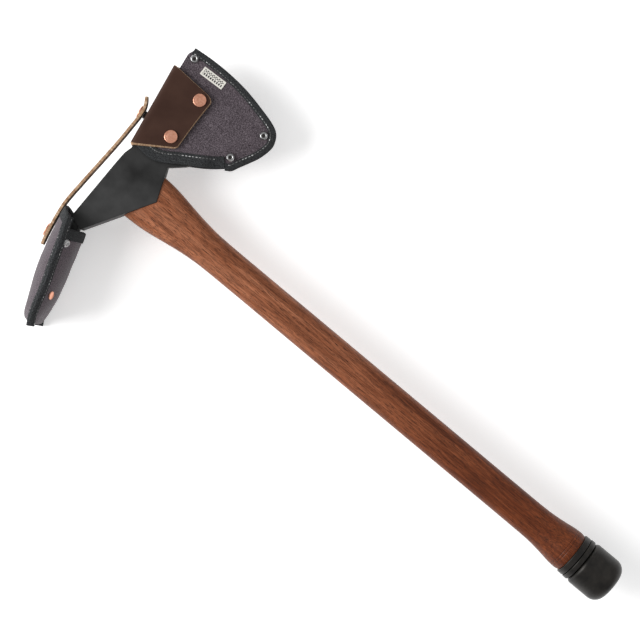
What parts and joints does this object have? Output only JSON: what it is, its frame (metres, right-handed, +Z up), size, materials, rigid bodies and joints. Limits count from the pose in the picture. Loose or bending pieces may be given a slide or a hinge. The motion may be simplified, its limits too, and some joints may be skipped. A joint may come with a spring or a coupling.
{
  "type": "hatchet",
  "caption": "Small forestry axe with an adze poll, wooden handle and metal pommel, in a canvas and leather two-part blade cover.",
  "frame": {"origin": "centre of the eye on the flush top face of the head, on the end of the wooden eye wedge", "axes": "+X along the handle to the pommel, +Y towards the axe bit, +Z up with the tool lying on its side"},
  "size_m": [0.6299, 0.2997, 0.08],
  "materials": {
    "black_steel": "matte black coated forging",
    "stained_wood": "walnut-stained hardwood, satin oil",
    "wedge_wood": "bare hardwood",
    "gunmetal": "satin gunmetal black",
    "bright_steel": "plated steel",
    "grey_canvas": "charcoal heather waxed canvas",
    "black_webbing": "ribbed black binding tape",
    "brown_leather": "dark brown oiled leather with tan cut edges",
    "copper": "satin copper snap cap",
    "cream_weave": "woven label with a plain pattern"
  },
  "bodies": {
    "axe": {"axe_head": "black_steel", "handle": "stained_wood", "eye_wedge": "wedge_wood", "cross_wedge_adze_side": "bright_steel", "cross_wedge_bit_side": "bright_steel", "pommel_washer": "gunmetal", "pommel_collar": "gunmetal", "pommel_cap": "gunmetal", "pommel_rod": "bright_steel"},
    "axe_cover": {"cover_front_panel": "grey_canvas", "cover_back_panel": "grey_canvas", "cover_welt": "black_webbing", "cover_edge_binding": "black_webbing", "cover_mouth_band_front": "black_webbing", "cover_mouth_band_back": "black_webbing", "cover_rivet_toe": "bright_steel", "cover_rivet_heel": "bright_steel", "cover_rivet_beard": "bright_steel", "cover_label": "cream_weave", "leather_saddle": "brown_leather", "saddle_rivet_upper": "copper", "saddle_rivet_lower": "copper", "flap_stud_upper": "bright_steel", "flap_stud_lower": "bright_steel", "strap_stud": "bright_steel"},
    "closure_flap": {"closure_flap": "brown_leather", "flap_cap_upper": "copper", "flap_cap_lower": "copper"},
    "adze_cover": {"adze_outer_panel": "grey_canvas", "adze_inner_panel": "grey_canvas", "adze_binding_near": "black_webbing", "adze_binding_far": "black_webbing", "adze_mouth_band_outer": "black_webbing", "adze_mouth_band_inner": "black_webbing", "adze_rivet_near": "bright_steel", "adze_rivet_far": "bright_steel", "adze_copper_rivet_near": "copper", "adze_copper_rivet_far": "copper", "strap_tail": "brown_leather", "strap_tail_cap": "copper"},
    "strap": {"strap": "brown_leather", "strap_cap": "copper", "strap_socket": "bright_steel"}
  },
  "joints": [
    {"name": "axe_cover_slide", "type": "slide", "parent": "axe", "child": "axe_cover", "axis": [-0.1893, 0.9819, 0], "range_m": [0, 0.11]},
    {"name": "closure_flap_hinge", "type": "hinge", "parent": "axe_cover", "child": "closure_flap", "pos_m": [-0.002, 0.03, 0.0143], "axis": [0.1887, -0.9789, 0.0784], "range_deg": [0, 105]},
    {"name": "adze_cover_draw", "type": "hinge", "parent": "axe", "child": "adze_cover", "pos_m": [0.25, -0.035, 0], "axis": [0, 0, 1], "range_deg": [0, 26]},
    {"name": "strap_hinge", "type": "hinge", "parent": "adze_cover", "child": "strap", "pos_m": [-0.0154, -0.0537, 0], "axis": [0, 0, 1], "range_deg": [0, 100]}
  ]
}
